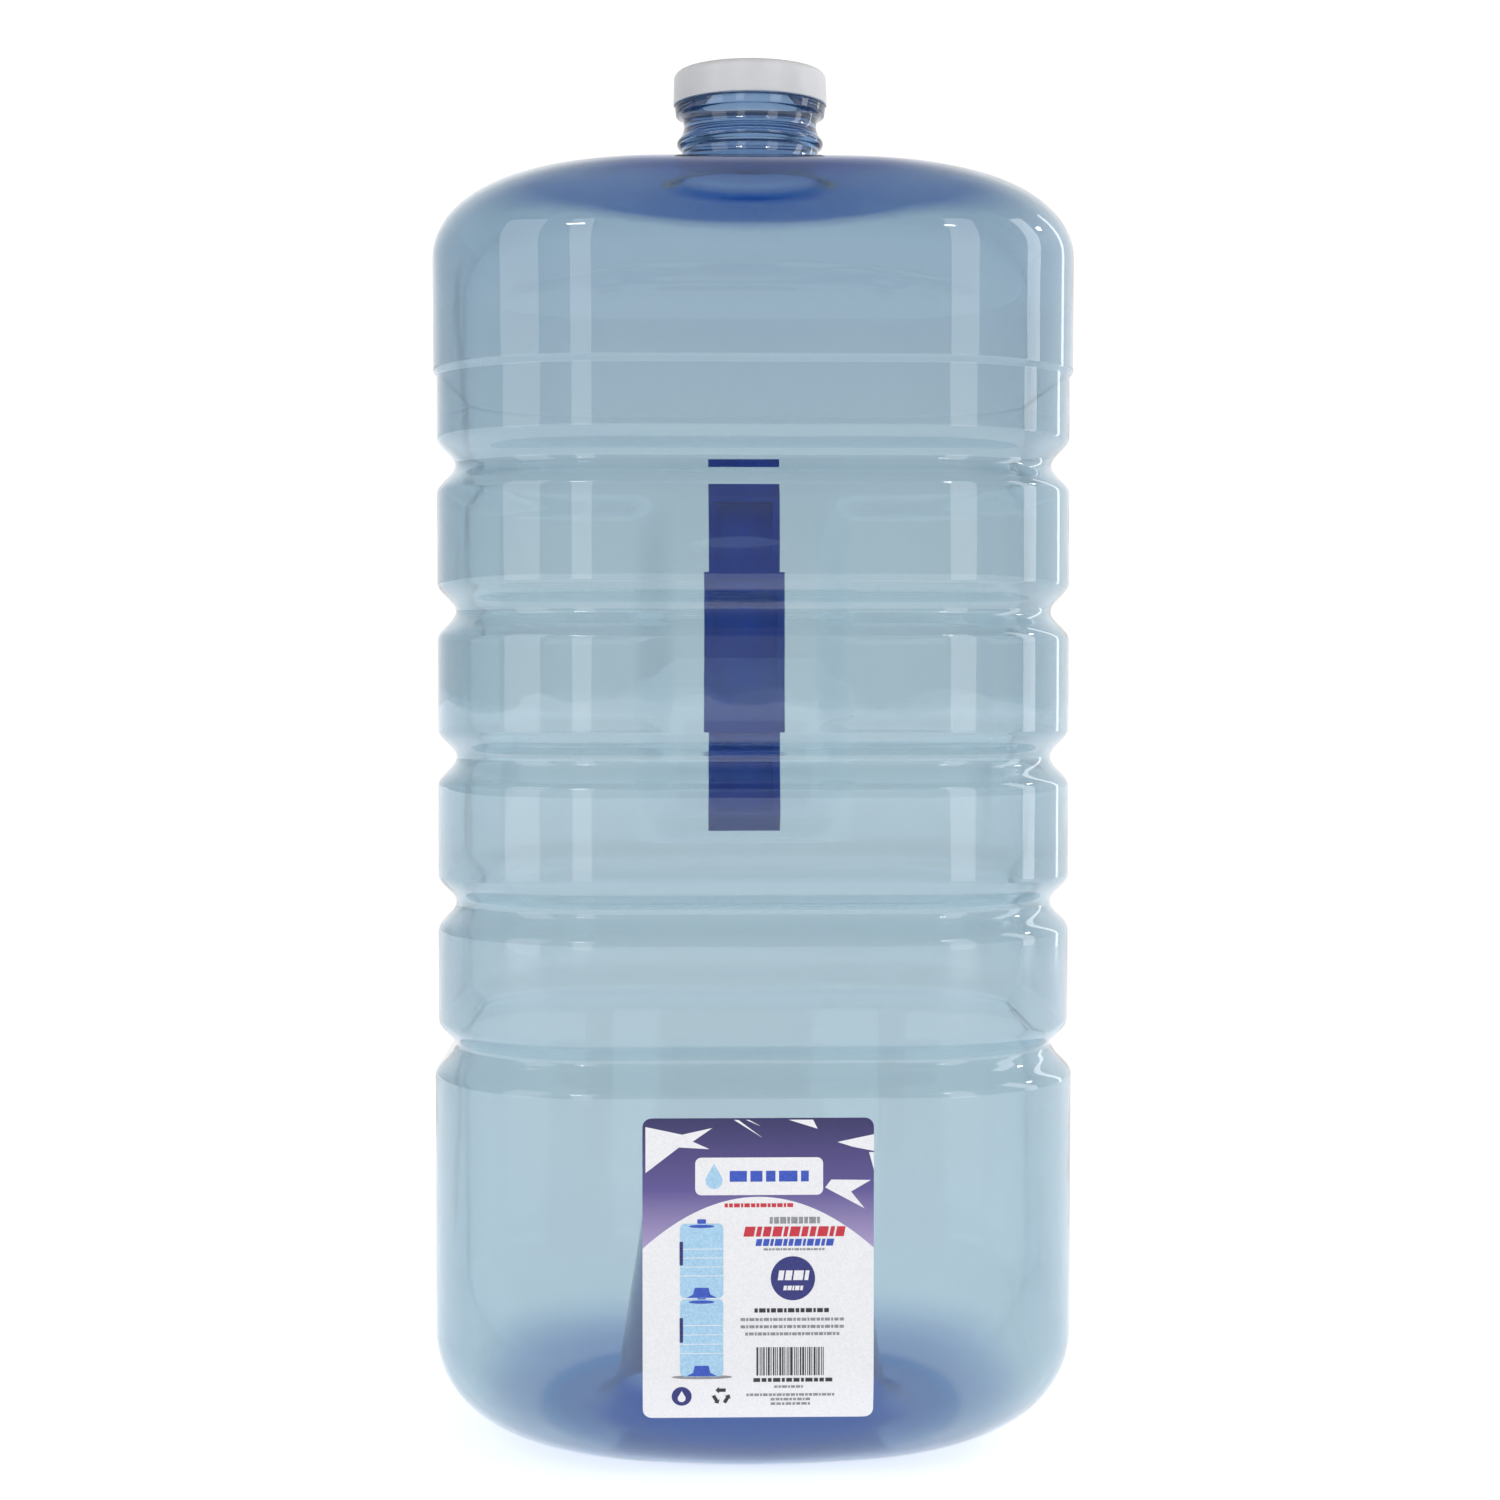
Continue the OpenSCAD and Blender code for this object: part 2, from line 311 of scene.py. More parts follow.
def handle_plastic():
    """Deep royal-blue translucent plastic with faint flow marks."""
    m, nt, shader = new_material("handle_blue_plastic")
    tex = noise_node(nt, 60, 4)
    ramp = ramp_node(nt, tex.outputs["Fac"], [(0.3, (0.008, 0.09, 0.60)), (0.7, (0.02, 0.13, 0.74))])
    nt.links.new(ramp.outputs["Color"], shader.inputs["Base Color"])
    shader.inputs["Roughness"].default_value = 0.2
    shader.inputs["IOR"].default_value = 1.5
    shader.inputs["Transmission Weight"].default_value = 0.4
    bump(nt, shader, tex.outputs["Fac"], 0.25, 0.0005)
    absorb(nt, (0.18, 0.42, 0.85), 260)
    return m


def cap_plastic():
    """White satin plastic that lets a little light through."""
    m, nt, shader = new_material("cap_white_plastic")
    tex = noise_node(nt, 90, 5)
    ramp = ramp_node(nt, tex.outputs["Fac"], [(0.25, (0.62, 0.62, 0.63)), (0.75, (0.69, 0.69, 0.70))])
    nt.links.new(ramp.outputs["Color"], shader.inputs["Base Color"])
    rough = ramp_node(nt, tex.outputs["Fac"], [(0.2, (0.30, 0.30, 0.30)), (0.8, (0.42, 0.42, 0.42))])
    nt.links.new(rough.outputs["Color"], shader.inputs["Roughness"])
    shader.inputs["Subsurface Weight"].default_value = 0.3
    shader.inputs["Subsurface Radius"].default_value = (1.0, 1.0, 1.0)
    shader.inputs["Subsurface Scale"].default_value = 0.002
    bump(nt, shader, tex.outputs["Fac"], 0.12, 0.0003)
    return m


def liner_foam():
    """Off-white closed-cell foam, with a faint painted glow in place of the light that the thin cap lets
    through.
    """
    m, nt, shader = new_material("liner_foam")
    tex = noise_node(nt, 900, 4)
    ramp = ramp_node(nt, tex.outputs["Fac"], [(0.3, (0.72, 0.72, 0.70)), (0.7, (0.86, 0.86, 0.84))])
    nt.links.new(ramp.outputs["Color"], shader.inputs["Base Color"])
    shader.inputs["Roughness"].default_value = 0.85
    # painted glow: emission stands in for the light let through by the cap
    shader.inputs["Emission Color"].default_value = (0.86, 0.94, 1.0, 1)
    shader.inputs["Emission Strength"].default_value = 0.55
    bump(nt, shader, tex.outputs["Fac"], 0.5, 0.0002)
    return m


def print_ink(name, dark, light, roughness=0.42):
    """Printed film in one ink, with the slight grain of print."""
    m, nt, shader = new_material("print_" + name)
    tex = noise_node(nt, 1400, 3)
    ramp = ramp_node(nt, tex.outputs["Fac"], [(0.35, dark), (0.65, light)])
    nt.links.new(ramp.outputs["Color"], shader.inputs["Base Color"])
    shader.inputs["Roughness"].default_value = roughness
    return m


def print_fade(name, stops, low, high):
    """Printed film whose ink changes with height, from low to high millimetres."""
    m, nt, shader = new_material("print_" + name)
    share = nt.nodes.new("ShaderNodeMapRange")
    share.inputs["From Min"].default_value = low * MM
    share.inputs["From Max"].default_value = high * MM
    nt.links.new(place(nt)["Z"], share.inputs["Value"])
    ramp = ramp_node(nt, share.outputs["Result"], stops)
    nt.links.new(ramp.outputs["Color"], shader.inputs["Base Color"])
    shader.inputs["Roughness"].default_value = 0.42
    return m


# ---- the blown bottle ----

SIDE_STEP = 4.0
CORNER_STEPS = 30
POCKET_FLOOR = 26.0
POCKET_RIM = 46.0
POCKET_EDGE = 48.5


def pocket_share(x):
    """How much of the pocket's depth applies at this distance from the middle."""
    return 1 - smooth(np.abs(x), POCKET_FLOOR, POCKET_RIM)


def columns():
    """Points round the outline, seen from above, each with its outward direction."""
    back = np.concatenate(
        [np.arange(0, POCKET_FLOOR, SIDE_STEP), np.arange(POCKET_FLOOR, POCKET_EDGE - 0.5, 1.25), [POCKET_EDGE]]
    )
    side = np.linspace(-FLAT, FLAT, int(2 * FLAT / SIDE_STEP) + 1)[:-1]
    points, normals = [], []

    def add_flat(values, turn):
        c, s = round(math.cos(turn)), round(math.sin(turn))
        for v in values:
            points.append((HALF * c - v * s, HALF * s + v * c))
            normals.append((c, s))

    def add_corner(turn):
        for i in range(CORNER_STEPS):
            a = turn + math.pi / 2 * i / CORNER_STEPS
            cx = FLAT * math.copysign(1, math.cos(turn + math.pi / 4))
            cy = FLAT * math.copysign(1, math.sin(turn + math.pi / 4))
            points.append((cx + CORNER * math.cos(a), cy + CORNER * math.sin(a)))
            normals.append((math.cos(a), math.sin(a)))

    for q in range(4):
        turn = q * math.pi / 2
        if q == 1:
            add_flat(np.concatenate([[-FLAT], -back[::-1], back[1:]]), turn)
        else:
            add_flat(side, turn)
        add_corner(turn)
    return np.array(points), np.array(normals)


OUTLINE, OUTWARD = columns()
AROUND = len(OUTLINE)
POLAR = OUTLINE / np.linalg.norm(OUTLINE, axis=1)[:, None]


def square_ring(inset, z):
    """A ring of the rounded square, moved in by inset."""
    inset = np.broadcast_to(np.asarray(inset, float), (AROUND,))
    p = OUTLINE - OUTWARD * inset[:, None]
    return np.column_stack([p, np.full(AROUND, float(z))])


def round_ring(r, z):
    """A circle whose points lie in the same directions as the rounded square's."""
    r = np.broadcast_to(np.asarray(r, float), (AROUND,))
    return np.column_stack([POLAR * r[:, None], np.full(AROUND, float(z))])


def blended(a, b, share):
    """A mix of two rings, or two numbers, with this share of the second."""
    return a + (b - a) * share


def recess_rings():
    """The recess from its crown to its foot, on the outside of the bottle."""
    c, s = math.cos(RECESS_LEAN), math.sin(RECESS_LEAN)
    lean = math.degrees(RECESS_LEAN)
    crown_x = (RECESS_FOOT_R * c + FLARE_R * s - FLARE_R - CROWN_R - s * (RECESS_H - CROWN_R)) / c
    flat_part = line((2.0, RECESS_H), (crown_x, RECESS_H), 6)[:-1]
    crown = arc(crown_x, RECESS_H - CROWN_R, CROWN_R, 90, lean, 10)
    flare = arc(RECESS_FOOT_R, FLARE_R, FLARE_R, 180 + lean, 270, 10)
    wall = line(crown[-1], flare[0], 12)[:-1]
    return [round_ring(r, z) for r, z in np.vstack([[(2.0, RECESS_H)], flat_part, crown, wall, flare])]


def wall_levels():
    """Heights of the wall's rings, closest in the grooves and at the step."""
    levels = list(np.arange(BASE_R, SHOULDER_Z + 0.1, 2.6))
    for z in GROOVE_Z:
        levels = [v for v in levels if abs(v - z) > GROOVE_H / 2 + 0.4]
        levels += list(z + np.linspace(-0.5, 0.5, 27) * GROOVE_H)
    levels = [v for v in levels if abs(v - STEP_Z) > 2.2]
    levels += list(STEP_Z + np.linspace(-2, 2, 9))
    return sorted(levels + [SHOULDER_Z])


def band_inset(z):
    """How far the band at this height stands in, without its groove."""
    in_panels = smooth(z, GROOVE_Z[0] - 1.5, GROOVE_Z[0] + 1.5) * (1 - smooth(z, STEP_Z - 1.2, STEP_Z + 1.2))
    return PANEL_INSET * in_panels


def groove_depth(z):
    """Depth of the groove at this height, or 0 between the grooves."""
    depth = 0.0
    for g in GROOVE_Z:
        t = (z - g) / (GROOVE_H / 2)
        if abs(t) < 1:
            depth = GROOVE_D * (1 + math.cos(math.pi * t)) / 2
    return depth


def pocket_depth(z):
    """Depth of the pocket at this height, with rounded ends."""
    rise = abs(z - POCKET_Z)
    if rise > POCKET_R - 1:
        return 0.0
    straight = math.sqrt(POCKET_R**2 - rise**2) - (POCKET_R - POCKET_D)
    round_end = 3.0
    soft = (straight + math.sqrt(straight**2 + round_end**2)) / 2
    return soft * (1 - smooth(-straight, 4, 9))


AT_BACK = OUTWARD[:, 1] > 0.999
POCKET_SHARE = np.where(AT_BACK, pocket_share(OUTLINE[:, 0]), 0.0)


def wall_ring(z):
    """One ring of the wall, with its groove, the pocket and the slight unevenness of blowing."""
    depth = pocket_depth(z)
    taken = POCKET_SHARE * smooth(depth, 0.5, 7)
    inset = band_inset(z) + groove_depth(z) * (1 - taken) + POCKET_SHARE * depth
    calm = smooth(z, 128, 150) * (1 - smooth(z, SHOULDER_Z - 14, SHOULDER_Z))
    uneven = np.array([0.1 * (1 + wobble(x, y, z, 55, 3.1)) for x, y in OUTLINE])
    return square_ring(inset + uneven * calm * (1 - taken), z)


def base_rings():
    """From the round foot on the ground up the rounded edge to the wall's rounded square."""
    rings = [round_ring(r, 0) for r in line((RECESS_FOOT_R, 0), (BASE_FOOT_R, 0), 3)[:-1, 0]]
    foot, wall = round_ring(BASE_FOOT_R, 0), square_ring(0, 0)
    for a in np.radians(np.linspace(0, 90, 34)[:-1]):
        ring = blended(foot, wall, math.sin(a))
        ring[:, 2] = BASE_R * (1 - math.cos(a))
        rings.append(ring)
    return rings


def shoulder_rings():
    """The shoulder, which turns from the rounded square into the neck's circle."""
    wall = square_ring(0, 0)
    root = round_ring(ROOT_R, 0)
    rings = []
    steps = np.radians(np.linspace(0, 90, 25)[1:])
    curve = [(HALF - SHOULDER_IN * (1 - math.cos(a)), SHOULDER_Z + SHOULDER_UP * math.sin(a)) for a in steps]
    dome = line(curve[-1], (ROOT_R, ROOT_Z), 9)
    for r, z in [*curve, *dome]:
        ring = blended(root, wall, (r - ROOT_R) / (HALF - ROOT_R))
        ring[:, 2] = z
        rings.append(ring)
    return rings


def neck_line():
    """The neck's outer side as [radius, height above the root]."""
    fillet = ROOT_R - STEM_R
    waist = arc(WAIST_R + 6, 19.6, 6, 212, 140, 12)
    return np.vstack(
        [
            arc(ROOT_R, fillet, fillet, 270, 180, 12)[1:],
            arc(STEM_R, 13.4, 1.9, -90, 60, 12),
            waist,
            arc(26.8, 23.7, 0.3, -90, 0, 2),
            [(27.3, 25.0), (27.5, 26.2)],
            arc(27.2, 26.3, 0.3, 0, 90, 3),
            [(FINISH_R + 0.3, FINISH_UP - 0.3)],
            line((FINISH_R, FINISH_UP), (FINISH_R, LIP_UP - 0.8), 30),
            arc(FINISH_R - 0.6, LIP_UP - 0.6, 0.6, 0, 90, 4),
        ]
    )


def thread_rise(turn, z, start, first, last):
    """How much of a thread's ridge stands at each angle in degrees, at height z.

    start is the ridge's height at angle 0, and first and last are the angles where it ends.
    """
    rise = np.zeros(len(turn))
    for lap in range(-1, 3):
        a = turn + 360 * lap
        off = np.abs(z - (start + THREAD_PITCH * a / 360))
        shape = 1 - smooth(off, 0.45, 1.05)
        ends = smooth(a, first, first + THREAD_FADE) * (1 - smooth(a, last - THREAD_FADE, last))
        rise = np.maximum(rise, shape * ends)
    return rise


TURN = np.degrees(np.arctan2(POLAR[:, 1], POLAR[:, 0])) % 360
NECK_THREAD_Z = CAP_Z + 2.1


def neck_rings():
    """The neck's outer rings, with the thread's ridge raised on the threaded part."""
    rings = []
    for r, up in neck_line():
        z = ROOT_Z + up
        in_thread = up > FINISH_UP and r >= FINISH_R - 0.01
        rise = thread_rise(TURN, z, NECK_THREAD_Z, *NECK_THREAD) if in_thread else 0.0
        rings.append(round_ring(r + THREAD_CREST * rise, z))
    return rings


WALL_T = 1.1
WALL_UNEVEN = 0.08


def wall_thickness(ring):
    """Thickness of the plastic at each point, a little uneven as blown plastic is."""
    return np.array([WALL_T * (1 + WALL_UNEVEN * wobble(x, y, z, 60, 7.7)) for x, y, z in ring])


def inner_rings(outer):
    """The inside face: each outer point moved in along its own normal by the wall's thickness."""
    grid = np.array(outer)
    along = np.gradient(grid, axis=0)
    round_way = np.roll(grid, -1, axis=1) - np.roll(grid, 1, axis=1)
    inward = np.cross(along, round_way)
    inward /= np.linalg.norm(inward, axis=2)[:, :, None]
    thick = np.array([wall_thickness(ring) for ring in grid])
    return grid + inward * thick[:, :, None]


def bottle_mesh():
    """The whole bottle: up the outside to the lip, down the bore, and back along the inside."""
    lower = recess_rings() + base_rings() + [wall_ring(z) for z in wall_levels()] + shoulder_rings()
    inner = list(inner_rings(lower))
    neck = neck_rings()
    bore_top = [round_ring(r, ROOT_Z + z) for r, z in arc(BORE_R + 0.5, LIP_UP - 0.5, 0.5, 90, 180, 4)]
    bore = [round_ring(BORE_R, z) for z in np.linspace(ROOT_Z + LIP_UP - 1.5, ROOT_Z + BORE_UP, 14)]
    flare_start, flare_end = bore[-1], inner[-1]
    flare = []
    for t in np.linspace(0, 1, 12)[1:-1]:
        ring = flare_start.copy()
        out = 1 - math.cos(t * math.pi / 2)
        down = math.sin(t * math.pi / 2)
        ring[:, :2] = blended(flare_start[:, :2], flare_end[:, :2], out)
        ring[:, 2] = blended(flare_start[:, 2], flare_end[:, 2], down)
        flare.append(ring)
    rings = lower + neck + bore_top + bore + flare + inner[::-1]
    return skin(rings)


def make_bottle(material):
    """One blown piece in place of the part's four nodes for the bottle."""
    verts, faces = bottle_mesh()
    obj = mesh_object("bottle", verts, faces, [material])
    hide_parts("body_wall", "shoulder", "base", "neck")
    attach(obj, "bottle")


# ---- handle ----


HANDLE_EDGE = 0.7


def make_handle(material):
    """The bar with its sharp edges rounded off."""
    mesh = bpy.data.meshes.new("handle_bar")
    bm = bmesh.new()
    bm.from_mesh(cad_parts["handle"].data)
    bmesh.ops.remove_doubles(bm, verts=bm.verts, dist=1e-6)
    bmesh.ops.dissolve_limit(bm, angle_limit=math.radians(1), verts=bm.verts, edges=bm.edges)
    sharp = [e for e in bm.edges if len(e.link_faces) == 2 and e.calc_face_angle(0) > math.radians(35)]
    bmesh.ops.bevel(
        bm, geom=sharp, offset=HANDLE_EDGE * MM, segments=3, profile=0.5, affect="EDGES", clamp_overlap=True
    )
    bm.to_mesh(mesh)
    bm.free()
    mesh.materials.clear()
    mesh.materials.append(material)
    mesh.polygons.foreach_set("use_smooth", [True] * len(mesh.polygons))
    obj = bpy.data.objects.new("handle_bar", mesh)
    bpy.context.scene.collection.objects.link(obj)
    obj.modifiers.new("normals", "WEIGHTED_NORMAL").keep_sharp = True
    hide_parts("handle")
    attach(obj, "bottle")


# ---- cap ----

CAP_AROUND = 180
CAP_EDGE = 2.6


def cap_ring(r, z, rise=0.0):
    """A circle of the cap, moved in by rise where the thread is."""
    a = np.linspace(0, 2 * math.pi, CAP_AROUND, endpoint=False)
    r = np.broadcast_to(np.asarray(r - rise, float), (CAP_AROUND,))
    return np.column_stack([r * np.cos(a), r * np.sin(a), np.full(CAP_AROUND, float(z))])


def make_cap(material):
    """The cap from the middle of its top, down its side, and up its threaded bore to the ceiling."""
    bore = CAP_R - CAP_WALL
    side = CAP_R - 0.25
    turn = np.linspace(0, 360, CAP_AROUND, endpoint=False)
    profile = np.vstack(
        [
            [(1.5, CAP_TOP), (8, CAP_TOP), (15, CAP_TOP - 0.02)],
            arc(20.0, CAP_TOP - 0.12, 0.12, 90, -10, 3),
            [(20.4, CAP_TOP - 0.3), (20.9, CAP_TOP - 0.2)],
            arc(side - CAP_EDGE, CAP_TOP - 0.2 - CAP_EDGE, CAP_EDGE, 80, 2, 12),
            line((side, CAP_TOP - 3.4), (CAP_R, CAP_Z + 1.2), 6),
            [(CAP_R, CAP_Z + 0.9)],
            arc(CAP_R - 0.5, CAP_Z + 0.5, 0.5, 0, -90, 4),
            arc(bore + 0.4, CAP_Z + 0.4, 0.4, 270, 180, 4),
        ]
    )
    rings = [cap_ring(r, z) for r, z in profile]
    for z in np.linspace(CAP_Z + 0.6, CEILING_Z - 0.6, 34):
        rise = THREAD_CREST * thread_rise(turn, z, NECK_THREAD_Z - THREAD_PITCH / 2, *CAP_THREAD)
        rings.append(cap_ring(bore, z, rise))
    rings += [cap_ring(r, z) for r, z in arc(bore - 0.4, CEILING_Z - 0.4, 0.4, 0, 90, 4)]
    rings += [cap_ring(r, CEILING_Z) for r in (20, 10, 1.5)]
    verts, faces = skin(rings)
    obj = mesh_object("screw_cap", verts, [f[::-1] for f in faces], [material])
    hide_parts("cap")
    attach(obj, "screw_cap")


# ---- label ----

LABEL_W = float(LABEL_HIGH[0] - LABEL_LOW[0])
LABEL_H = float(LABEL_HIGH[2] - LABEL_LOW[2])
LABEL_Z = float(LABEL_LOW[2])
INKS = ["film", "fade", "navy", "red", "blue", "sky", "black", "grey"]
LABEL_CORNER = 3.0
HEAD_UP = 57.0  # the dark head's lowest point above the label's lower edge
HEAD_RISE = 17.0
CORNERS = ((-0.5, -0.5), (0.5, -0.5), (0.5, 0.5), (-0.5, 0.5))


def on_label(u, v, lift):
    """A point of the label's flat artwork, u across and v up from its lower edge, laid on the bottle."""
    z = LABEL_Z + v
    if z >= BASE_R:
        return (u, -HALF - lift, z)
    a = math.asin((BASE_R - z) / BASE_R)
    r = BASE_R + lift
    return (u, -(HALF - BASE_R) - r * math.cos(a), BASE_R - r * math.sin(a))


class Artwork:
    """Flat shapes that become one printed mesh, each shape a hair above the one before."""

    def __init__(self):
        self.bm = bmesh.new()
        self.layer = 0

    def add(self, points, ink):
        area = sum(a[0] * b[1] - b[0] * a[1] for a, b in zip(points, [*points[1:], points[0]]))
        order = points if area > 0 else points[::-1]
        face = self.bm.faces.new([self.bm.verts.new((u, v, self.layer)) for u, v in order])
        face.material_index = INKS.index(ink)
        face.normal_update()

    def next_layer(self):
        self.layer += 1

    def block(self, u, v, w, h, ink, r=0.0, n=5):
        """A rectangle centred on u, v with rounded corners."""
        if r <= 0:
            self.add([(u + w * i, v + h * j) for i, j in CORNERS], ink)
            return
        points = []
        for sx, sy, start in ((1, -1, -90), (1, 1, 0), (-1, 1, 90), (-1, -1, 180)):
            x, y = u + sx * (w / 2 - r), v + sy * (h / 2 - r)
            points += [tuple(p) for p in arc(x, y, r, start, start + 90, n)]
        self.add(points, ink)

    def oval(self, u, v, a, b, ink, n=48):
        t = np.linspace(0, 2 * math.pi, n, endpoint=False)
        self.add([(u + a * math.cos(x), v + b * math.sin(x)) for x in t], ink)

    def words(self, u, v, w, h, ink, count, slant=0.0):
        """A row of plain blocks in place of a printed line."""
        gap = 0.22 * w / count
        widths = np.array([1 + 0.45 * math.sin(2.4 * k + w) for k in range(count)])
        widths *= (w - gap * (count - 1)) / widths.sum()
        x = u - w / 2
        for width in widths:
            low, high, lean = v - h / 2, v + h / 2, slant * h
            self.add([(x, low), (x + width, low), (x + width + lean, high), (x + lean, high)], ink)
            x += width + gap

    def mesh(self, name, materials, lifts):
        """Cuts the shapes finely where the label bends, and lays them on the bottle."""
        bm = self.bm
        bmesh.ops.triangulate(bm, faces=bm.faces)
        for v in np.arange(1.5, BASE_R - LABEL_Z + 1.6, 1.5):
            bmesh.ops.bisect_plane(
                bm, geom=bm.verts[:] + bm.edges[:] + bm.faces[:], plane_co=(0, v, 0), plane_no=(0, 1, 0)
            )
        for vert in bm.verts:
            lift = lifts[0] + (lifts[1] - lifts[0]) * vert.co.z / max(self.layer, 1)
            vert.co = Vector(on_label(vert.co.x, vert.co.y, lift)) * MM
        mesh = bpy.data.meshes.new(name)
        bm.to_mesh(mesh)
        bm.free()
        for m in materials:
            mesh.materials.append(m)
        obj = bpy.data.objects.new(name, mesh)
        bpy.context.scene.collection.objects.link(obj)
        return obj


def drop(u, v, r):
    """Outline of a water drop: a circle drawn out to a point at the top."""
    return [*(tuple(p) for p in arc(u, v, r, 150, 390, 16)), (u, v + 2 * r)]


def little_bottle(art, u, v, w, h):
    """A small picture of the jug, with its lower middle at u, v."""
    art.block(u, v + h / 2, w, h, "sky", 1.6)
    art.next_layer()
    for k in range(4):
        art.block(u, v + h * (0.3 + 0.12 * k), w, 0.22, "film")
    art.add([(u - w * 0.36, v + 0.1), (u + w * 0.36, v + 0.1), (u + w * 0.2, v + h * 0.05),
             (u + w * 0.16, v + h * 0.14), (u - w * 0.16, v + h * 0.14), (u - w * 0.2, v + h * 0.05)], "blue")
    art.oval(u, v + h * 0.965, w * 0.3, h * 0.022, "blue", 24)
    art.block(u, v + h * 1.03, w * 0.2, h * 0.06, "blue", 0.3)
    art.block(u - w * 0.47, v + h * 0.6, w * 0.08, h * 0.32, "navy", 0.2)


def label_artwork():
    """The whole print, from the white film up, with plain shapes in place of words and marks."""
    art = Artwork()
    w, h, r = LABEL_W, LABEL_H, LABEL_CORNER
    art.block(0, h / 2, w, h, "film", r)
    art.next_layer()
    # the dark head of the label, with an arch for its lower edge
    arch = [(x, HEAD_UP + HEAD_RISE * (1 - (2 * x / w) ** 2)) for x in np.linspace(w / 2, -w / 2, 33)]
    left, right = arc(r - w / 2, h - r, r, 180, 90, 6), arc(w / 2 - r, h - r, r, 90, 0, 6)
    art.add([*arch, *(tuple(p) for p in np.vstack([left, right]))], "fade")
    art.next_layer()
    # white shards
    art.add([(-37, 97.2), (-25, 94.6), (-15, 96.8), (-21.5, 92.3), (-16, 89.8), (-26, 90.4), (-37, 82)],
            "film")
    art.add([(38, 94.5), (26, 92.0), (31, 90.4), (38, 89.0)], "film")
    art.add([(36.4, 88.6), (38, 88.6), (38, 82.8)], "film")
    art.add([(24, 79.6), (37, 79.4), (30.5, 75.6), (35, 70.0), (22, 77.0)], "film")
    art.add([(10, 99.4), (18, 99.4), (19.5, 96.4)], "film")
    art.add([(-8, 99.4), (-6.5, 99.4), (1.5, 93.4)], "film")
    art.add([(-4, 99.4), (-3, 99.4), (1, 97.2)], "film")
    art.next_layer()
    # a plain panel with a water drop, and rows of blocks
    art.block(0.3, 80.8, 42.0, 12.4, "film", 2.0)
    art.next_layer()
    art.add(drop(-14.5, 79.4, 2.8), "sky")
    art.words(3.6, 80.8, 26.0, 3.6, "blue", 5)
    art.words(0.2, 71.2, 22.5, 1.3, "red", 13)
    art.words(12.0, 66.2, 16.5, 2.2, "grey", 9)
    art.words(11.6, 62.5, 33.0, 3.3, "red", 11, 0.2)
    art.words(11.8, 58.9, 25.5, 2.3, "blue", 12, 0.2)
    art.words(11.8, 56.6, 20, 0.7, "grey", 16)
    art.words(11.0, 36.4, 24.5, 1.4, "black", 13)
    for k in range(3):
        art.words(11.2, 33.4 - 2.4 * k, 34 - 3 * (k == 2), 1.0, "grey", 22)
    # bars with rows of small marks under them
    x = -0.6
    for k in range(30):
        width = 0.28 + 0.34 * ((k * 7) % 5 == 0) + 0.2 * ((k * 3) % 4 == 1)
        art.add([(x, 14.8), (x + width, 14.8), (x + width, 24.2), (x, 24.2)], "black")
        x += width + 0.3 + 0.16 * (k % 3 == 0)
    art.words(11.4, 13.3, 26, 1.3, "black", 12)
    art.words(10.0, 11.0, 9.5, 0.8, "grey", 7)
    art.words(10.6, 8.2, 29, 0.9, "grey", 20)
    art.words(10.6, 6.6, 13, 0.9, "grey", 9)
    art.words(10.6, 5.0, 13, 0.9, "grey", 8)
    # round badge
    art.oval(11.4, 47.0, 7.3, 7.3, "navy", 40)
    # stacked jugs
    art.oval(-18.5, 14.4, 10.0, 0.7, "grey", 32)
    art.oval(-25.2, 7.8, 3.3, 3.3, "navy", 32)
    for turn in (90, 210, 330):
        a = math.radians(turn)
        cx, cy = -12.2 + 2.1 * math.cos(a), 7.8 + 2.1 * math.sin(a)
        d, n = Vector((-math.sin(a), math.cos(a))), Vector((math.cos(a), math.sin(a)))
        shape = [(-1.5, -0.6), (0.7, -0.6), (0.7, -1.15), (1.9, 0.0), (0.7, 1.15), (0.7, 0.6), (-1.5, 0.6)]
        art.add([(cx + d.x * p + n.x * q, cy + d.y * p + n.y * q) for p, q in shape], "black")
    art.next_layer()
    art.words(11.4, 48.0, 10.0, 3.2, "film", 4, 0.15)
    art.words(11.4, 43.8, 6.4, 1.5, "film", 5, 0.15)
    art.add(drop(-25.2, 7.1, 1.3), "film")
    little_bottle(art, -18.6, 14.6, 14.2, 25.6)
    art.next_layer()
    little_bottle(art, -18.6, 40.6, 14.2, 24.6)
    return art


def make_label():
    """The printed sheet: a thin film, and the print that lies on it."""
    head = [(0.0, (0.36, 0.30, 0.52)), (0.45, (0.09, 0.07, 0.26)), (1.0, (0.018, 0.016, 0.10))]
    inks = [
        print_ink("film", (0.74, 0.74, 0.77), (0.80, 0.80, 0.83)),
        print_fade("fade", head, LABEL_Z + HEAD_UP, LABEL_Z + LABEL_H),
        print_ink("navy", (0.012, 0.016, 0.15), (0.02, 0.025, 0.19)),
        print_ink("red", (0.48, 0.012, 0.03), (0.58, 0.02, 0.045)),
        print_ink("blue", (0.018, 0.06, 0.42), (0.03, 0.085, 0.5)),
        print_ink("sky", (0.30, 0.52, 0.72), (0.40, 0.62, 0.80)),
        print_ink("black", (0.012, 0.012, 0.016), (0.03, 0.03, 0.035)),
        print_ink("grey", (0.2, 0.2, 0.23), (0.3, 0.3, 0.33)),
    ]
    obj = label_artwork().mesh("label_print", inks, (0.08, 0.19))
    backing = Artwork()
    backing.block(0, LABEL_H / 2, LABEL_W, LABEL_H, "film", LABEL_CORNER)
    sheet = backing.mesh("label_film", inks[:1], (0.04, 0.04))
    solid = sheet.modifiers.new("thickness", "SOLIDIFY")
    solid.thickness = 0.04 * MM
    solid.offset = 0
    for piece in (obj, sheet):
        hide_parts("label")
        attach(piece, "bottle")


# ---- floor, light and camera ----

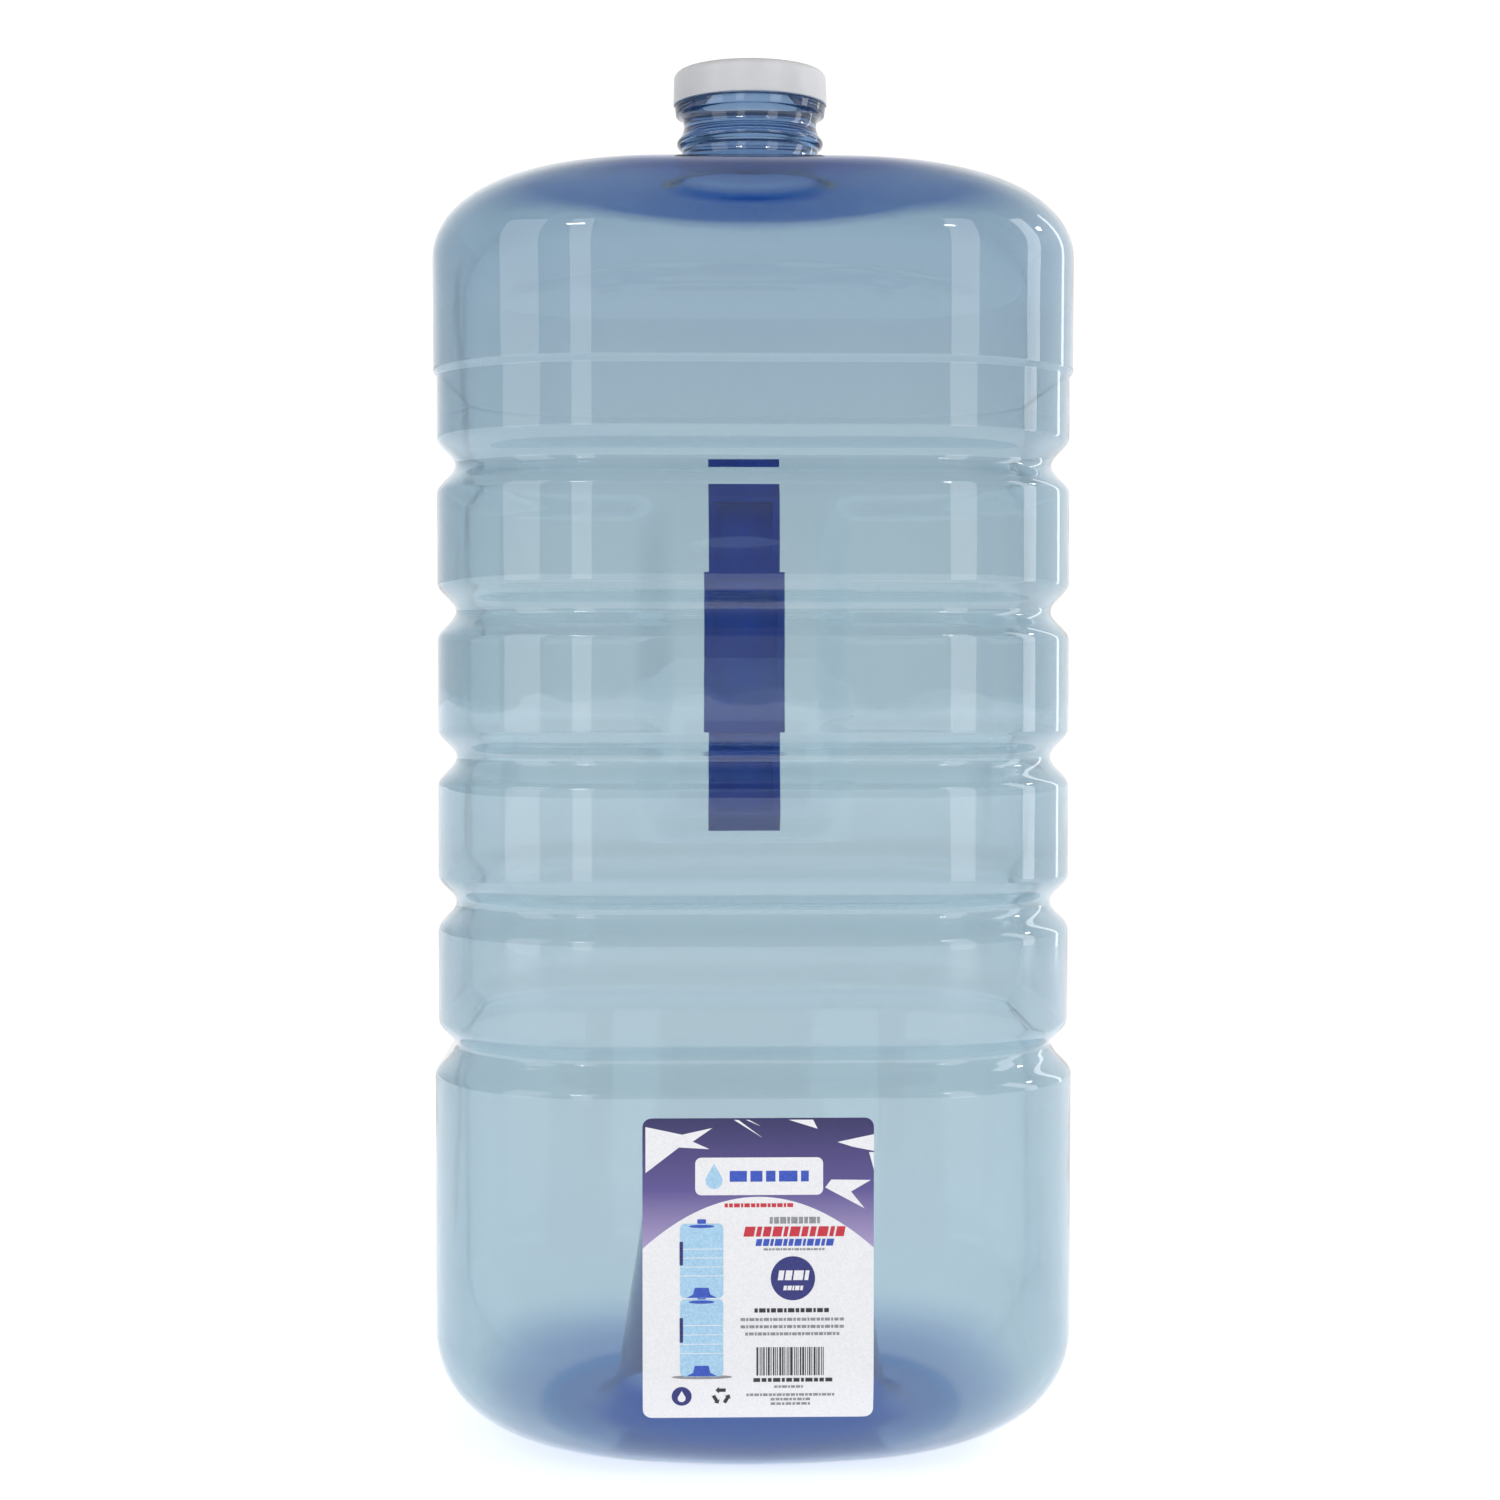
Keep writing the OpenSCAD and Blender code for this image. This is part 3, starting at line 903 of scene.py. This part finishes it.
FLOOR_HALF = 14000.0
FLOOR_GAP = 0.2  # below the jug's foot, so that the two never share a plane


def make_floor():
    """A plain white floor that glows a little, more so far away, to meet the backdrop."""
    m, nt, shader = new_material("floor_white")
    tex = noise_node(nt, 3, 2)
    ramp = ramp_node(nt, tex.outputs["Fac"], [(0.3, (0.90, 0.90, 0.90)), (0.7, (0.92, 0.92, 0.92))])
    nt.links.new(ramp.outputs["Color"], shader.inputs["Base Color"])
    shader.inputs["Roughness"].default_value = 0.9
    shader.inputs["Specular IOR Level"].default_value = 0.1
    where = nt.nodes.new("ShaderNodeTexCoord")
    glow = ease(nt, length(nt, where.outputs["Object"]), 0.2, 6.0, 0.62, 0.80)
    shader.inputs["Emission Color"].default_value = (1, 1, 1, 1)
    nt.links.new(glow, shader.inputs["Emission Strength"])
    verts = [(2 * FLOOR_HALF * i, 2 * FLOOR_HALF * j, -FLOOR_GAP) for i, j in CORNERS]
    floor = mesh_object("floor", verts, [(0, 1, 2, 3)], [m], False)


def make_world():
    """A bright backdrop behind the jug, and a dimmer room in front, at the left and above.

    The camera sees plain white everywhere. The dimming shows only in and through the jug.
    """
    world = bpy.data.worlds.new("soft_white")
    world.use_nodes = True
    nt = world.node_tree
    where = nt.nodes.new("ShaderNodeTexCoord")
    parts = nt.nodes.new("ShaderNodeSeparateXYZ")
    nt.links.new(where.outputs["Generated"], parts.inputs["Vector"])
    behind = ease(nt, parts.outputs["Y"], -0.5, 0.75, 0.42, 1.08)
    dim_left = ease(nt, parts.outputs["X"], -0.9, -0.2, 0.45, 1.0)
    dim_above = ease(nt, parts.outputs["Z"], 0.3, 0.8, 1.0, 0.4)
    room = combine(nt, "MULTIPLY", dim_left, dim_above)
    back = nt.nodes["Background"]
    back.inputs["Color"].default_value = (1, 1, 1, 1)
    light = combine(nt, "MULTIPLY", behind, room)
    path = nt.nodes.new("ShaderNodeLightPath")
    nt.links.new(combine(nt, "MAXIMUM", light, path.outputs["Is Camera Ray"]), back.inputs["Strength"])
    bpy.context.scene.world = world


def soft_panel(name, turn, lift, away, width, height, brightness):
    """A softbox seen from the jug's middle at an angle to the left of the front (negative is right)."""
    middle = Vector((0, 0, 0.25))
    a, e = math.radians(turn), math.radians(lift)
    ahead = Vector((-math.sin(a) * math.cos(e), -math.cos(a) * math.cos(e), math.sin(e)))
    data = bpy.data.lights.new(name, "AREA")
    data.shape = "RECTANGLE"
    data.size, data.size_y = width, height
    data.energy = brightness * math.pi * width * height
    obj = bpy.data.objects.new(name, data)
    obj.location = middle + ahead * away
    obj.rotation_euler = (-ahead).to_track_quat("-Z", "Y").to_euler()
    obj.visible_camera = False
    obj.visible_transmission = False
    bpy.context.scene.collection.objects.link(obj)


def make_lights():
    """Tall windows round the jug for its upright streaks, and small lamps for its bright points."""
    soft_panel("window_far_left", 56, 14, 1.6, 0.75, 1.6, 1.5)
    soft_panel("window_left", 16, 12, 1.9, 0.42, 1.9, 1.7)
    soft_panel("window_right", -38, 14, 1.6, 0.5, 1.7, 1.9)
    soft_panel("window_far_right", -90, 14, 1.6, 0.34, 1.7, 2.6)
    soft_panel("slit_right", -126, 12, 1.6, 0.12, 1.6, 2.5)
    soft_panel("lamp_left", 20, 30, 2.4, 0.42, 0.09, 22)
    soft_panel("lamp_right", -30, 30, 2.4, 0.26, 0.10, 22)
    soft_panel("lamp_far_right", -106, 30, 2.4, 0.22, 0.14, 22)


def make_camera():
    """The photograph's viewpoint, without its lens shift."""
    data = bpy.data.cameras.new("camera")
    cam = bpy.data.objects.new("camera", data)
    turn = math.radians(-1.4)
    away = 0.970
    height = 0.276
    down = math.radians(1.95)
    cam.location = (away * math.sin(turn), -away * math.cos(turn), height)
    ahead = Vector((-math.sin(turn) * math.cos(down), math.cos(turn) * math.cos(down), -math.sin(down)))
    cam.rotation_euler = ahead.to_track_quat("-Z", "Y").to_euler()
    data.lens = 63.2
    data.sensor_width = 36
    data.clip_end = 60
    bpy.context.scene.collection.objects.link(cam)
    bpy.context.scene.camera = cam


make_bottle(clear_plastic())
make_handle(handle_plastic())
make_cap(cap_plastic())
make_label()
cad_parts["cap_liner"].data.materials.clear()
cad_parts["cap_liner"].data.materials.append(liner_foam())
make_floor()
make_world()
make_lights()
make_camera()

scene = bpy.context.scene
scene.view_settings.view_transform = "Standard"
scene.cycles.max_bounces = 32
scene.cycles.transmission_bounces = 32
scene.cycles.transparent_max_bounces = 24

bpy.context.view_layer.update()
